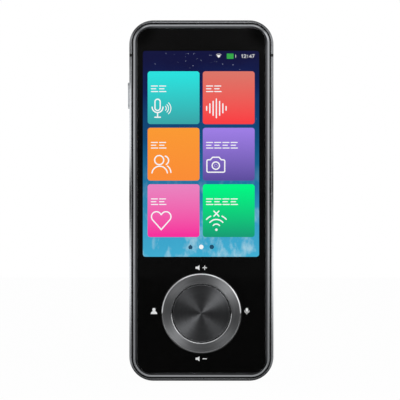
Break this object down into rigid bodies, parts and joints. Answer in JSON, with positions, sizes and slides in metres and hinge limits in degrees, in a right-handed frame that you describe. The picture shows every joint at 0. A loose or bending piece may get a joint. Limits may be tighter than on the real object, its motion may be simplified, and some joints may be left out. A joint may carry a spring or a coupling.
{
  "type": "handheld translator",
  "caption": "Slim handheld voice translator with a tall display, a rocking ring with a centre key below it, a talk key on the left edge and a metal band round the sides.",
  "frame": {"origin": "middle of the bottom edge: the centre of the body's width and depth, at its lowest face", "axes": "+X to the right as the user looks at the display, +Y from the display to the back, +Z from the bottom edge to the top edge"},
  "size_m": [0.0526, 0.0119, 0.13],
  "materials": {
    "band_metal": "dark anodised, satin",
    "break_plastic": "fine matte",
    "bezel_metal": "dark grey with a polished chamfer",
    "cover_glass": "polished, inked black behind",
    "adhesive": "foam tape",
    "clear_adhesive": "clear",
    "display_glass": "lit display",
    "sheet_steel": "bright sheet",
    "acrylic": "clear acrylic",
    "foam": "foam",
    "flex_film": "polyimide film",
    "chassis_plastic": "moulded",
    "cover_plastic": "fine textured matte",
    "ring_metal": "circular brushed, bright chamfers",
    "cap_metal": "spun",
    "carrier_plastic": "moulded",
    "silicone": "translucent grey",
    "dome_steel": "bright",
    "board_laminate": "solder resist",
    "chip_plastic": "moulded",
    "connector_plastic": "moulded",
    "pouch_foil": "laminated foil",
    "key_metal": "dark anodised, satin",
    "screw_steel": "blackened",
    "grille_steel": "black coated",
    "mesh_fabric": "woven",
    "speaker_plastic": "moulded",
    "lens_glass": "coated",
    "trim_metal": "polished chamfer",
    "camera_plastic": "black",
    "flash_plastic": "clear, prismatic",
    "lamp": "phosphor",
    "port_steel": "bright",
    "port_plastic": "moulded"
  },
  "bodies": {
    "body": {"band_lower": "band_metal", "band_top": "band_metal", "antenna_break_left": "break_plastic", "antenna_break_right": "break_plastic", "chassis": "chassis_plastic", "front_bezel": "bezel_metal", "front_glass": "cover_glass", "glass_tape": "adhesive", "optical_bond": "clear_adhesive", "display_cell": "display_glass", "backlight_tray": "sheet_steel", "light_guide": "acrylic", "display_cushion": "foam", "display_flex": "flex_film", "display_connector": "connector_plastic", "main_board": "board_laminate", "shield_cans": "sheet_steel", "board_chips": "chip_plastic", "battery": "pouch_foil", "battery_tape": "adhesive", "battery_lead": "flex_film", "usb_shell": "port_steel", "usb_tongue": "port_plastic", "usb_board": "board_laminate", "microphones": "sheet_steel", "mic_gaskets": "foam", "board_screws": "screw_steel", "rear_cover": "cover_plastic", "speaker_grille": "grille_steel", "speaker_mesh": "mesh_fabric", "speaker_gasket": "foam", "speaker_box": "speaker_plastic", "camera_module": "camera_plastic", "camera_window": "lens_glass", "camera_trim": "trim_metal", "flash_lamp": "lamp", "flash_lens": "flash_plastic", "antenna_foil": "flex_film", "key_board": "board_laminate", "snap_domes": "dome_steel", "talk_switch": "port_plastic", "talk_flex": "flex_film"},
    "membrane": {"key_membrane": "silicone"},
    "ring": {"nav_ring": "ring_metal", "ring_carrier": "carrier_plastic"},
    "centre_key": {"centre_cap": "cap_metal", "centre_plunger": "carrier_plastic"},
    "side_key": {"talk_key": "key_metal", "switch_plunger": "port_plastic"}
  },
  "joints": [
    {"name": "ring_tilt_up_down", "type": "hinge", "parent": "body", "child": "membrane", "pos_m": [0, -0.0027, 0.0244], "axis": [1, 0, 0], "range_deg": [-1.2, 1.2], "stiffness_Nm_per_rad": 0.3, "deforming": ["key_membrane"]},
    {"name": "ring_tilt_left_right", "type": "hinge", "parent": "membrane", "child": "ring", "pos_m": [0, -0.0027, 0.0244], "axis": [0, 0, 1], "range_deg": [-1.2, 1.2], "stiffness_Nm_per_rad": 0.3, "deforming": ["key_membrane"]},
    {"name": "centre_key_press", "type": "slide", "parent": "body", "child": "centre_key", "axis": [0, 1, 0], "range_m": [0, 0.0003], "stiffness_N_per_m": 1500, "springref_m": -0.0001, "deforming": ["key_membrane"]},
    {"name": "talk_key_press", "type": "slide", "parent": "body", "child": "side_key", "axis": [1, 0, 0], "range_m": [0, 0.0003], "stiffness_N_per_m": 1500, "springref_m": -0.0001}
  ]
}
